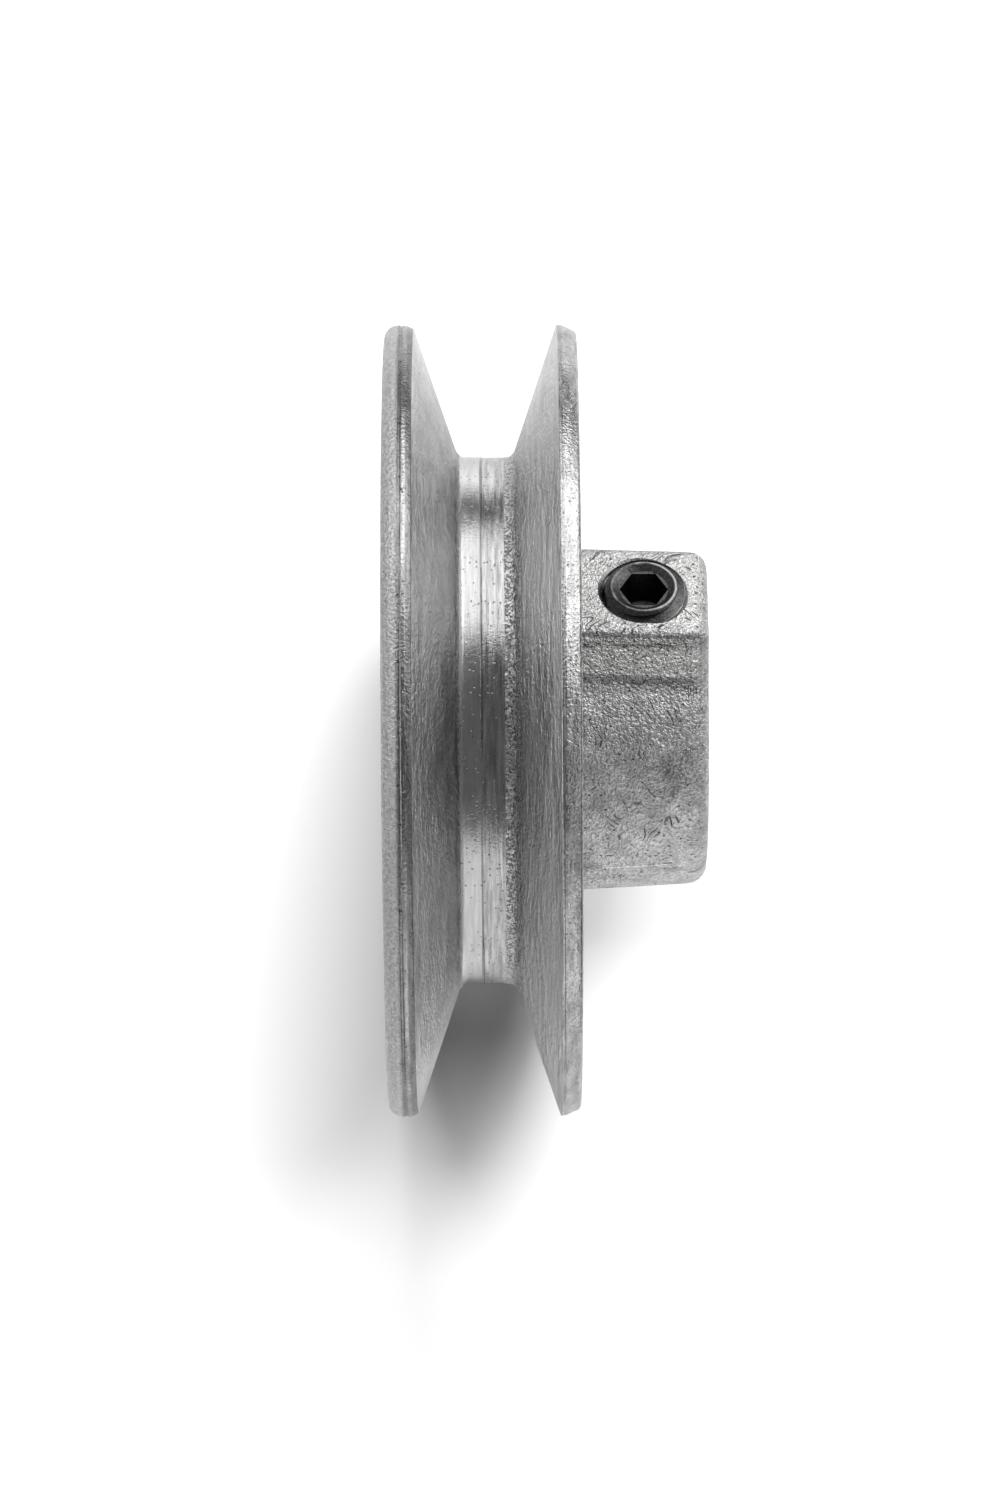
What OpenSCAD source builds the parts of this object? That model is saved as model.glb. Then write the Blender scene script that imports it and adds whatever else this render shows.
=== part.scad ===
// V-groove pulley: one die-cast piece with a hub on its front side, and a hex
// socket set screw in a boss on the hub. It lies on its back face, hub upward.
// Millimetres, +Z along the bore towards the hub's nose, +X along the set screw.

/* [Rim and groove] */
// Outside diameter of the rim
rim_d = 76.2; // [72:0.1:79]
// Width of the rim, from its back face to its front face
rim_w = 18.4; // [18:0.1:20.5]
// Diameter of the groove's floor
floor_d = 50.8; // [49:0.1:55]
// Width of the groove's floor between its sharp corners
floor_w = 5.2; // [4.4:0.1:5.6]
// Angle between the groove's two walls
groove_angle = 37.4; // [34:0.1:39]
// Height of the groove's middle above the back face
groove_mid_z = 9.6; // [9.4:0.1:9.9]
// Radius between the groove's floor and its walls
floor_fillet_r = 1.0; // [0.4:0.1:1.5]

/* [Flange tips] */
// Radius of the back flange's outer corner
back_tip_r = 1.3; // [0.6:0.1:1.5]
// Radius of the back flange's lip into the groove
back_lip_r = 0.6; // [0.2:0.1:0.8]
// Radius of the front flange's lip into the groove
front_lip_r = 0.25; // [0.1:0.05:0.4]
// How far the front flange's tip falls towards its face
front_tip_drop = 0.7; // [0.2:0.1:1.2]
// Radius of the front flange's outer corner
front_tip_r = 0.5; // [0.2:0.1:0.7]

/* [Cored faces] */
// Width of the flat ring left on the back face at the rim
back_land_w = 4.6; // [3.6:0.1:6]
// Width of the flat ring left on the front face at the rim
front_land_w = 4.4; // [3.4:0.1:6]
// Thickness of the back flange, square to the groove's wall
back_wall_t = 2.8; // [2.2:0.1:3.2]
// Thickness of the front flange, square to the groove's wall
front_wall_t = 2.3; // [1.9:0.1:2.6]
// Thickness of the ring under the groove's floor
floor_wall_t = 2.6; // [2:0.1:3.2]
// Thickness of the web between the hub and the rim
web_t = 3.6; // [2.8:0.1:4.4]
// Radius in the corners of the cored hollows
core_fillet_r = 1.0; // [0.5:0.1:1.3]
// Radius along the edges of the flat rings and of the hub's back end
core_edge_r = 0.25; // [0.1:0.05:0.3]

/* [Hub] */
// Diameter of the hub where it passes the front face
hub_d = 32.7; // [30:0.1:34]
// Length through the bore, from the back face to the hub's nose
bore_len = 30.6; // [29.5:0.1:36]
// Draft of the hub and of its boss
hub_draft = 2.9; // [1.5:0.1:3.5]
// Radius of the edge round the hub's nose
nose_r = 1.8; // [0.8:0.1:2.2]
// Diameter of the hub's back end, which is level with the back face
back_hub_d = 28.6; // [25:0.1:31]
// Diameter of the shaft bore
bore_d = 12.7; // [9.5:0.1:16]
// Chamfer at each end of the bore
bore_chamfer = 0.6; // [0.3:0.1:1.2]

/* [Screw boss] */
// Distance from the bore's axis to the boss's flat, at the screw
flat_x = 18.6; // [18.2:0.1:19.4]
// Width of the boss's flat between its sharp corners
flat_w = 10.5; // [9.8:0.1:11.6]
// How far each side of the boss leans outwards from the screw's direction
side_taper = 28; // [18:1:32]
// Radius along the edges of the flat
flat_edge_r = 1.0; // [0.6:0.1:1.3]
// Radius where the sides of the boss run into the hub
boss_root_r = 1.2; // [0.8:0.1:1.8]

/* [Set screw] */
// Outside diameter of the screw's thread
thread_d = 7.9; // [6.4:0.05:8.3]
// Gap round the thread in its hole
thread_gap = 0.05; // [0.02:0.01:0.09]
// Chamfer at the mouth of the screw hole
hole_chamfer = 0.12; // [0.05:0.01:0.3]
// Length of the screw
screw_len = 9.5; // [7:0.1:11]
// How far the screw stands out of the boss's flat
screw_proud = 0.6; // [0:0.1:1.5]
// Diameter of the rim left round the screw's socket
socket_rim_d = 6.2; // [5.4:0.05:6.8]
// Width of that rim
socket_rim_w = 0.15; // [0.05:0.05:0.4]
// Hex key size across its flats
key_af = 3.97; // [3:0.01:4.2]
// Depth of the hex socket
key_depth = 4.2; // [3:0.1:4.6]
// Depth of the dished lead-in round the hex
dish_depth = 0.45; // [0.2:0.05:0.7]
// Diameter of the cup point's rim
cup_d = 4.4; // [3.2:0.1:5]
// Depth of the hollow in the cup point
cup_depth = 0.9; // [0.4:0.1:1.2]

/* [Hidden] */

$fn = 96;
// What a cutter runs past the surface that it leaves
past = 1;
// How far the feet of the boss are sunk into the hub
foot_sink = 0.06;
// How far each foot runs along the hub past its root fillet
foot_run = 0.4;
// How far short of smooth the boss's nose meets its faces, as a faint crease
nose_crease = 0.03;
// Radius of the dish's floor and of the socket's drilled end, as shares of the hex's own
dish_share = 0.97;
drill_share = 0.94;
// Slope of the drilled end's cone
drill_slope = 25;

rim_r = rim_d / 2;
floor_r = floor_d / 2;
hub_r = hub_d / 2;
bore_r = bore_d / 2;
thread_r = thread_d / 2;
hole_r = thread_r + thread_gap;
// Distance from the hex socket's middle to its corners
key_corner_r = key_af / 2 / cos(30);
half_angle = groove_angle / 2;
web_back_z = groove_mid_z - web_t / 2;
web_front_z = groove_mid_z + web_t / 2;
// Inner radius of the ring under the groove's floor
ring_r = floor_r - floor_wall_t;
// Inner radius of the flat ring on each face
back_land_r = rim_r - back_land_w;
front_land_r = rim_r - front_land_w;
// The screw sits midway along the part of the hub that stands out of the rim
screw_z = (rim_w + bore_len) / 2;

// Half of the groove's width at radius r
function groove_half(r) = floor_w / 2 + (r - floor_r) * tan(half_angle);
// Height of each flange's cored side at radius r
function back_core_z(r) = groove_mid_z - groove_half(r) - back_wall_t / cos(half_angle);
function front_core_z(r) = groove_mid_z + groove_half(r) + front_wall_t / cos(half_angle);
// Radius of the drafted hub at height z, in front of the web and behind it
function hub_r_at(z) = hub_r - (z - rim_w) * tan(hub_draft);
function back_hub_r_at(z) = back_hub_d / 2 + z * tan(hub_draft);
// Distance from the bore's axis to the drafted flat at height z
function flat_x_at(z) = flat_x - (z - screw_z) * tan(hub_draft);

function unit(v) = v / norm(v);
function flat2(p) = [p[0], p[1]];

// An outline is a list of corners [x, y, radius], anticlockwise. Its neighbours of corner i:
function corner_before(corners, i) = flat2(corners[(i + len(corners) - 1) % len(corners)]);
function corner_after(corners, i) = flat2(corners[(i + 1) % len(corners)]);

function is_convex(corners, i) =
    let (tip = flat2(corners[i]))
    cross(tip - corner_before(corners, i), corner_after(corners, i) - tip) > 0;

// Start, end and centre of the arc that rounds corner i
function corner_arc(corners, i) =
    let (
        tip = flat2(corners[i]),
        back = unit(corner_before(corners, i) - tip),
        ahead = unit(corner_after(corners, i) - tip),
        half = acos(back * ahead) / 2,
        tangent = corners[i][2] / tan(half)
    )
    [tip + back * tangent, tip + ahead * tangent, tip + unit(back + ahead) * corners[i][2] / sin(half)];

// Slice of the round corner i, from the arc's centre out to the arc
module corner_slice(corners, i) {
    ends = corner_arc(corners, i);
    intersection() {
        translate(ends[2])
            circle(corners[i][2]);
        polygon([ends[0], flat2(corners[i]), ends[1], ends[2]]);
    }
}

// Outline with its corners rounded by true arcs, or sharp where the radius is 0
module rounded_outline(corners) {
    round_ones = [for (i = [0:len(corners) - 1]) if (corners[i][2] > 0) i];
    difference() {
        union() {
            polygon([
                for (i = [0:len(corners) - 1])
                    each corners[i][2] > 0
                        ? [corner_arc(corners, i)[0], corner_arc(corners, i)[1]]
                        : [flat2(corners[i])]
            ]);
            for (i = round_ones)
                if (is_convex(corners, i))
                    corner_slice(corners, i);
        }
        for (i = round_ones)
            if (!is_convex(corners, i))
                corner_slice(corners, i);
    }
}

// Half section of the casting, from the middle of its back face round the groove to its nose
module casting_section() {
    rounded_outline([
        [0, 0, 0],
        [back_hub_r_at(0), 0, core_edge_r],
        [back_hub_r_at(web_back_z), web_back_z, core_fillet_r],
        [ring_r, web_back_z, core_fillet_r],
        [ring_r, back_core_z(ring_r), core_fillet_r],
        [back_land_r, back_core_z(back_land_r), core_edge_r],
        [back_land_r, 0, core_edge_r],
        [rim_r, 0, back_tip_r],
        [rim_r, groove_mid_z - groove_half(rim_r), back_lip_r],
        [floor_r, groove_mid_z - floor_w / 2, floor_fillet_r],
        [floor_r, groove_mid_z + floor_w / 2, floor_fillet_r],
        [rim_r, groove_mid_z + groove_half(rim_r), front_lip_r],
        [rim_r - front_tip_drop, rim_w, front_tip_r],
        [front_land_r, rim_w, core_edge_r],
        [front_land_r, front_core_z(front_land_r), core_edge_r],
        [ring_r, front_core_z(ring_r), core_fillet_r],
        [ring_r, web_front_z, core_fillet_r],
        [hub_r_at(web_front_z), web_front_z, core_fillet_r],
        [hub_r_at(bore_len), bore_len, nose_r],
        [0, bore_len, 0]
    ]);
}

// Corners of one half of the boss, seen along the bore: flat, side, root fillet and foot
function boss_half() =
    let (
        hub_at_screw = hub_r_at(screw_z) - foot_sink,
        corner = [flat_x, flat_w / 2],
        down = [-cos(side_taper), sin(side_taper)],
        // The root fillet's centre is a fillet radius off both the side and the hub
        near_side = corner + boss_root_r * [sin(side_taper), cos(side_taper)],
        from_axis = hub_at_screw + boss_root_r,
        reach = near_side * down,
        run = -reach - sqrt(reach * reach - near_side * near_side + from_axis * from_axis),
        to_foot = unit(near_side + down * run),
        along_hub = [-to_foot[1], to_foot[0]],
        toe = to_foot * hub_at_screw,
        // The side's line meets the hub's tangent at the toe
        knee = corner + down * cross(toe - corner, along_hub) / cross(down, along_hub),
        foot = toe + along_hub * foot_run,
        core = to_foot * (bore_r + hub_at_screw) / 2
    )
    [
        [corner[0], corner[1], flat_edge_r],
        [knee[0], knee[1], boss_root_r],
        [foot[0], foot[1], 0],
        [core[0], core[1], 0]
    ];

// The boss, leaning with the hub's draft, before its nose is rounded
module boss_prism() {
    upper = boss_half();
    lower = [for (i = [len(upper) - 1:-1:0]) [upper[i][0], -upper[i][1], upper[i][2]]];
    translate([flat_x, 0, screw_z])
        rotate([0, -hub_draft, 0])
            translate([-flat_x, 0, -screw_z])
                linear_extrude(bore_len + past)
                    rounded_outline(concat(upper, lower));
}

// Cutter that rounds the nose's edge on a face turned by angle from the screw's direction.
// The face is foot_dist from the bore's axis at the screw, and nose_dist at the nose.
module nose_rounder(angle, foot_dist, nose_dist) {
    corners = [[foot_dist, screw_z, 0], [nose_dist, bore_len, nose_r], [0, bore_len, 0]];
    ends = corner_arc(corners, 1);
    out = 2 * (ends[0] - ends[2]);
    up = 2 * (ends[1] - ends[2]);
    rotate([0, 0, angle])
        rotate([90, 0, 0])
            linear_extrude(hub_d, center = true)
                difference() {
                    translate(ends[2])
                        polygon([[0, 0], out, out + up, up]);
                    translate(ends[2] + unit(out + up) * nose_crease)
                        circle(nose_r);
                }
}

// The boss round the set screw, from the web to the hub's nose
module screw_boss() {
    flat_at_nose = flat_x_at(bore_len);
    side_normal = [sin(side_taper), cos(side_taper)];
    difference() {
        intersection() {
            boss_prism();
            translate([0, -hub_r, groove_mid_z])
                cube([hub_d, hub_d, bore_len - groove_mid_z]);
        }
        nose_rounder(0, flat_x, flat_at_nose);
        for (side = [-1, 1])
            nose_rounder(
                side * (90 - side_taper),
                side_normal * [flat_x, flat_w / 2],
                side_normal * [flat_at_nose, flat_w / 2]
            );
    }
}

// Shaft bore with a chamfer at each end
module shaft_bore() {
    translate([0, 0, -past])
        cylinder(h = bore_len + 2 * past, r = bore_r);
    translate([0, 0, -past])
        cylinder(h = bore_chamfer + past, r1 = bore_r + bore_chamfer + past, r2 = bore_r);
    translate([0, 0, bore_len - bore_chamfer])
        cylinder(h = bore_chamfer + past, r1 = bore_r, r2 = bore_r + bore_chamfer + past);
}

// Hole for the set screw, from the bore out through the boss's flat
module screw_hole() {
    translate([0, 0, screw_z])
        rotate([0, 90, 0]) {
            cylinder(h = flat_x + screw_proud + past, r = hole_r);
            translate([0, 0, flat_x - hole_chamfer])
                cylinder(h = hole_chamfer + past, r1 = hole_r, r2 = hole_r + hole_chamfer + past);
        }
}

module pulley_body() {
    color("silver")
        difference() {
            union() {
                rotate_extrude()
                    casting_section();
                screw_boss();
            }
            shaft_bore();
            screw_hole();
        }
}

// Hex socket with a drilled, cone-shaped bottom, opening at height 0
module hex_socket() {
    drill_r = key_af / 2 * drill_share;
    translate([0, 0, -key_depth])
        rotate([0, 0, 90])
            cylinder(h = key_depth + past, r = key_corner_r, $fn = 6);
    translate([0, 0, -key_depth - drill_r * tan(drill_slope)])
        cylinder(h = drill_r * tan(drill_slope), r1 = 0, r2 = drill_r);
}

// Set screw standing on its cup point, its socket upward
module upright_screw() {
    socket_rim_r = socket_rim_d / 2;
    cup_r = cup_d / 2;
    difference() {
        rotate_extrude()
            polygon([
                [0, cup_depth],
                [cup_r, 0],
                [thread_r, thread_r - cup_r],
                [thread_r, screw_len - (thread_r - socket_rim_r)],
                [socket_rim_r, screw_len],
                [socket_rim_r - socket_rim_w, screw_len],
                [key_corner_r * dish_share, screw_len - dish_depth],
                [0, screw_len - dish_depth]
            ]);
        translate([0, 0, screw_len])
            hex_socket();
    }
}

module set_screw() {
    color("dimgray")
        translate([flat_x + screw_proud - screw_len, 0, screw_z])
            rotate([0, 90, 0])
                upright_screw();
}

pulley_body();
set_screw();
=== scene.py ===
import math

import bpy
import numpy as np
from mathutils import Matrix, Vector


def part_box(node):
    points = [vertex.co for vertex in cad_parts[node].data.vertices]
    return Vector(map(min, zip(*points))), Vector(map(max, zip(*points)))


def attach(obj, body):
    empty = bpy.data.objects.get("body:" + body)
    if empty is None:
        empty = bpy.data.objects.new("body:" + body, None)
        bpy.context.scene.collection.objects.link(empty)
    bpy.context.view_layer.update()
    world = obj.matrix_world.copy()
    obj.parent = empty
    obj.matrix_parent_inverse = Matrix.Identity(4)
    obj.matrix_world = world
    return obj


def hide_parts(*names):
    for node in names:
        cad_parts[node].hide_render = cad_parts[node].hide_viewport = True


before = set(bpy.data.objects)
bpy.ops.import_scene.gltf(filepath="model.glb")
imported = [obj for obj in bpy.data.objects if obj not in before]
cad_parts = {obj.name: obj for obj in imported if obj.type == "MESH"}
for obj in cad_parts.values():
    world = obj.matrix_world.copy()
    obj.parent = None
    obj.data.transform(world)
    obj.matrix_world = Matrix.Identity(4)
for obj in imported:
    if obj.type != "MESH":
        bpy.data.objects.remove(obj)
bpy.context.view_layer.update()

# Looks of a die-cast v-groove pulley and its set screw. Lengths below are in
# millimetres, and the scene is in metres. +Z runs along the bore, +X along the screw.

MM = 0.001
CASTING_STEPS = 480        # steps of the casting's spin
SCREW_STEPS = 72           # steps of each turn of a thread or of a screw's blank
ARC_STEP = math.radians(18)  # most that one step of a rounded corner turns
SECTION_STEP = 2.0         # longest straight step of the casting's section
BOSS_STEP = 0.3            # longest straight step of the boss's outline
SAME_SPOT = 0.0001         # points of a section this close are one point
SAME_CORNER = 0.0005       # corners of a finished skin this close are one corner
PAST = 0.1                 # what one form runs into another that it joins or cuts

# Sizes that the frame gives
_, body_high = (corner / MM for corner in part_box("pulley_body"))
screw_low, screw_high = (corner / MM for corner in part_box("set_screw"))
RIM_R = body_high.x
NOSE_Z = body_high.z
SCREW_TOP_X = screw_high.x
SCREW_TIP_X = screw_low.x
SCREW_Z = (screw_low.z + screw_high.z) / 2
THREAD_R = (screw_high.z - screw_low.z) / 2

# Rim and groove
RIM_W = 18.4
FLOOR_R = 25.4
FLOOR_W = 5.2
GROOVE_MID_Z = 9.6
GROOVE_HALF_ANGLE = math.radians(18.7)
FLOOR_FILLET_R = 1.0
BACK_TIP_R = 1.3
FRONT_TIP_DROP = 0.7
FRONT_TIP_R = 0.5

# Cored faces
BACK_LAND_R = RIM_R - 4.6
FRONT_LAND_R = RIM_R - 4.4
BACK_WALL_T = 2.8
FRONT_WALL_T = 2.3
RING_R = FLOOR_R - 2.6
WEB_T = 3.6
WEB_BACK_Z = GROOVE_MID_Z - WEB_T / 2
WEB_FRONT_Z = GROOVE_MID_Z + WEB_T / 2
CORE_FILLET_R = 1.0
CORE_EDGE_R = 0.25

# Fine lines that the die left: a seam on the groove's floor and on the hub, a dented line
# beside the back flange's lip, and a bead on the front flange's. The outline of each runs
# over points (height past its middle, rise above its surface, corner radius).
SEAM_Z = 9.15
SEAM_RISE = 0.06
SEAM_STEP = 0.05           # the floor's front half lies this much lower
SEAM_STEP_Z = SEAM_Z + 0.06
SEAM_LINE = ((-0.1, 0, 0), (-0.02, SEAM_RISE, 0), (0.04, SEAM_RISE / 2, 0), (0.06, -SEAM_STEP, 0))
PITTED_Z = 11.35           # where the floor's pitted front edge begins
BACK_DENT_Z = 1.68
BACK_DENT_LINE = ((-0.2, 0, 0.05), (-0.06, -0.1, 0.05), (0.06, -0.1, 0.05), (0.2, 0, 0.05))
BACK_CREST_Z = 2.2         # where the lip's narrow crest begins to fall into the groove
BACK_CREST_DROP = 0.06
BACK_CREST_R = 0.15
BACK_LIP_DROP = 0.35
BACK_LIP_R = 0.3
BEAD_RISE = 0.05
BEAD_FOOT_R = 0.06
BEAD_Z = 16.62
BEAD_LINE = (
    (-0.05, 0, 0.04), (0.08, 0, 0.04), (0.17, -2 * BEAD_RISE, 0.04), (0.3, -BEAD_RISE, 0.1),
)
HUB_SEAM_ANGLE = math.radians(101)
HUB_SEAM_Z = (20.4, 27.0)

# Hub, bore and boss
HUB_R = 16.35
HUB_DRAFT = math.radians(2.9)
BACK_HUB_R = 14.3
NOSE_R = 1.8
BORE_R = 6.35
BORE_CHAMFER = 0.6
FLAT_X = 18.6
FLAT_HALF_W = 5.25
SIDE_TAPER = math.radians(28)
FLAT_EDGE_R = 1.0
BOSS_ROOT_R = 1.2
BOSS_LEAST_R = 0.2         # of the edges and roots where the nose's rounding narrows them
BOSS_FOOT_DROP = 5.3       # from the flat's edge down the side to the middle of its root fillet
HOLE_R = THREAD_R + 0.05
HOLE_CHAMFER = 0.12
HOLE_START_X = 2           # where the cutter of the hole starts, inside the bore

# Set screw: 18 threads to the inch
THREAD_PITCH = 25.4 / 18
THREAD_DEPTH = 0.8
THREAD_CREST_W = 0.18
THREAD_FLANK_ANGLE = math.radians(30)
TAPPED_DEPTH = 0.4         # of the grooves in the boss's hole, which clear the sliding screw
TAPPED_CREST_W = 0.25
SOCKET_RIM_R = 3.1
DISH_R = 2.95
DISH_DEPTH = 0.45
KEY_AF = 3.97
KEY_CORNER_R = KEY_AF / 2 / math.cos(math.radians(30))
KEY_DEPTH = 4.2
DRILL_R = KEY_AF / 2 - 0.08
DRILL_SLOPE = math.radians(31)
CUP_R = 2.2
CUP_RIM_W = 0.15
CUP_DEPTH = 0.9

# Finishes
TIP_BAND_W = 1.1           # how far the rim bands run down the flanges' tips
FLOOR_BAND_W = 0.16        # how far the floor's finish runs up its fillets
WALL_SLACK = 0.05          # faces this far off the groove's outline still belong to it
BORE_SLACK = 0.02          # faces this far outside the bore's chamfer still belong to it
STAIN_PLACE = (8.5, 13.5, 27.3)  # a dark spot on the hub
BARE_ZINC = (1.0, 0.99, 0.97, 1)
CASTING_ZONES = ["cast_skin", "groove_wall", "groove_floor", "rim_band", "bored_metal"]


def hub_r_at(z):
    return HUB_R - (z - RIM_W) * math.tan(HUB_DRAFT)


def flat_x_at(z):
    return FLAT_X - (z - SCREW_Z) * math.tan(HUB_DRAFT)


def groove_half(r):
    return FLOOR_W / 2 + (r - FLOOR_R) * math.tan(GROOVE_HALF_ANGLE)


def back_core_z(r):
    return GROOVE_MID_Z - groove_half(r) - BACK_WALL_T / math.cos(GROOVE_HALF_ANGLE)


def front_core_z(r):
    return GROOVE_MID_Z + groove_half(r) + FRONT_WALL_T / math.cos(GROOVE_HALF_ANGLE)


# Modelling helpers

def deselect_all():
    if bpy.context.object and bpy.context.object.mode != "OBJECT":
        bpy.ops.object.mode_set(mode="OBJECT")
    bpy.ops.object.select_all(action="DESELECT")


def make_active(piece):
    deselect_all()
    piece.select_set(True)
    bpy.context.view_layer.objects.active = piece


def rounded(corners, closed=True):
    """Points of an outline of corners (a, b, radius), with an arc for each rounded corner."""
    points = []
    count = len(corners)
    for i, (a, b, radius) in enumerate(corners):
        tip = np.array([a, b])
        if radius == 0 or (not closed and i in (0, count - 1)):
            points.append(tip)
            continue
        back = np.array(corners[i - 1][:2]) - tip
        ahead = np.array(corners[(i + 1) % count][:2]) - tip
        back /= np.linalg.norm(back)
        ahead /= np.linalg.norm(ahead)
        half = math.acos(float(back @ ahead)) / 2
        middle = back + ahead
        centre = tip + middle / np.linalg.norm(middle) * radius / math.sin(half)
        start = tip + back * radius / math.tan(half) - centre
        end = tip + ahead * radius / math.tan(half) - centre
        first = math.atan2(start[1], start[0])
        turn = (math.atan2(end[1], end[0]) - first + 3 * math.pi) % math.tau - math.pi
        steps = max(2, math.ceil(abs(turn) / ARC_STEP))
        for step in range(steps + 1):
            angle = first + turn * step / steps
            points.append(centre + radius * np.array([math.cos(angle), math.sin(angle)]))
    return points


def divided(points, longest):
    """The closed outline with its long straight stretches divided into equal steps."""
    out = []
    for here, ahead in zip(points, points[1:] + points[:1]):
        steps = max(1, math.ceil(np.linalg.norm(ahead - here) / longest))
        out.extend(here + (ahead - here) * step / steps for step in range(steps))
    return out


def draw_section(name, points, closed=True):
    """A chain of edges in the XZ plane, drawn by extruding one vertex from point to point."""
    deselect_all()
    spots = [Vector((a * MM, 0, b * MM)) for a, b in points]
    if closed:
        spots.append(spots[0])
    bpy.ops.mesh.primitive_plane_add(size=MM, location=spots[0])
    piece = bpy.context.object
    piece.name = piece.data.name = name
    bpy.ops.object.mode_set(mode="EDIT")
    bpy.ops.mesh.merge(type="CENTER")
    for here, ahead in zip(spots, spots[1:]):
        bpy.ops.mesh.extrude_region_move(TRANSFORM_OT_translate={"value": ahead - here})
    bpy.ops.mesh.select_all(action="SELECT")
    bpy.ops.mesh.remove_doubles(threshold=SAME_SPOT * MM)
    bpy.ops.object.mode_set(mode="OBJECT")
    bpy.ops.object.transform_apply(location=True, rotation=True, scale=True)
    return piece


def close_skin(piece):
    """Merges doubles, fills the holes and turns the faces outward."""
    make_active(piece)
    bpy.ops.object.mode_set(mode="EDIT")
    bpy.ops.mesh.select_all(action="SELECT")
    bpy.ops.mesh.remove_doubles(threshold=SAME_CORNER * MM)
    bpy.ops.mesh.fill_holes(sides=0)
    bpy.ops.mesh.select_all(action="SELECT")
    bpy.ops.mesh.normals_make_consistent(inside=False)
    bpy.ops.object.mode_set(mode="OBJECT")


def spin_section(piece, steps, turns=1, rise=0.0):
    """Turns a section about the Z axis into a closed skin, rising that much with each turn."""
    make_active(piece)
    modifier = piece.modifiers.new("spin", "SCREW")
    modifier.steps = modifier.render_steps = steps
    modifier.iterations = turns
    modifier.screw_offset = rise * MM
    modifier.use_merge_vertices = rise == 0
    modifier.merge_threshold = SAME_SPOT * MM
    bpy.ops.object.modifier_apply(modifier=modifier.name)
    close_skin(piece)


def cut_with(piece, cutter, operation):
    """Applies a boolean of the piece with a cutter, and deletes the cutter."""
    make_active(piece)
    modifier = piece.modifiers.new("cut", "BOOLEAN")
    modifier.operation = operation
    modifier.solver = "EXACT"
    modifier.object = cutter
    bpy.ops.object.modifier_apply(modifier=modifier.name)
    bpy.data.objects.remove(cutter)


def point_array(piece):
    points = np.empty(len(piece.data.vertices) * 3, np.float64)
    piece.data.vertices.foreach_get("co", points)
    return points.reshape(-1, 3) / MM


def set_points(piece, points):
    piece.data.vertices.foreach_set("co", (points * MM).astype(np.float32).ravel())
    piece.data.update()


def lay_along_x(piece):
    """Turns a piece made upright, so that its own Z runs along +X at the screw's height."""
    turn = Matrix(((0, 0, 1, 0), (0, 1, 0, 0), (-1, 0, 0, SCREW_Z * MM), (0, 0, 0, 1)))
    piece.data.transform(turn)
    piece.data.update()


# Casting

def fine_line(surface_r, middle_z, line):
    return [(surface_r + rise, middle_z + past, radius) for past, rise, radius in line]


def casting_corners():
    """Half section of the casting, anticlockwise from the back end of the bore."""
    return [
        (BORE_R, BORE_CHAMFER, 0),
        (BORE_R + BORE_CHAMFER, 0, 0),
        (BACK_HUB_R, 0, CORE_EDGE_R),
        (BACK_HUB_R + WEB_BACK_Z * math.tan(HUB_DRAFT), WEB_BACK_Z, CORE_FILLET_R),
        (RING_R, WEB_BACK_Z, CORE_FILLET_R),
        (RING_R, back_core_z(RING_R), CORE_FILLET_R),
        (BACK_LAND_R, back_core_z(BACK_LAND_R), CORE_EDGE_R),
        (BACK_LAND_R, 0, CORE_EDGE_R),
        (RIM_R, 0, BACK_TIP_R),
        *fine_line(RIM_R, BACK_DENT_Z, BACK_DENT_LINE),
        (RIM_R - BACK_CREST_DROP, BACK_CREST_Z, BACK_CREST_R),
        (RIM_R - BACK_LIP_DROP, GROOVE_MID_Z - groove_half(RIM_R - BACK_LIP_DROP), BACK_LIP_R),
        (FLOOR_R, GROOVE_MID_Z - FLOOR_W / 2, FLOOR_FILLET_R),
        *fine_line(FLOOR_R, SEAM_Z, SEAM_LINE),
        (FLOOR_R - SEAM_STEP, PITTED_Z, 0),
        (FLOOR_R - SEAM_STEP, GROOVE_MID_Z + FLOOR_W / 2, FLOOR_FILLET_R),
        (RIM_R - BEAD_RISE, GROOVE_MID_Z + groove_half(RIM_R - BEAD_RISE), BEAD_FOOT_R),
        *fine_line(RIM_R, BEAD_Z, BEAD_LINE),
        (RIM_R - FRONT_TIP_DROP, RIM_W, FRONT_TIP_R),
        (FRONT_LAND_R, RIM_W, CORE_EDGE_R),
        (FRONT_LAND_R, front_core_z(FRONT_LAND_R), CORE_EDGE_R),
        (RING_R, front_core_z(RING_R), CORE_FILLET_R),
        (RING_R, WEB_FRONT_Z, CORE_FILLET_R),
        (hub_r_at(WEB_FRONT_Z), WEB_FRONT_Z, CORE_FILLET_R),
        (hub_r_at(NOSE_Z), NOSE_Z, NOSE_R),
        (BORE_R + BORE_CHAMFER, NOSE_Z, 0),
        (BORE_R, NOSE_Z - BORE_CHAMFER, 0),
    ]


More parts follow.
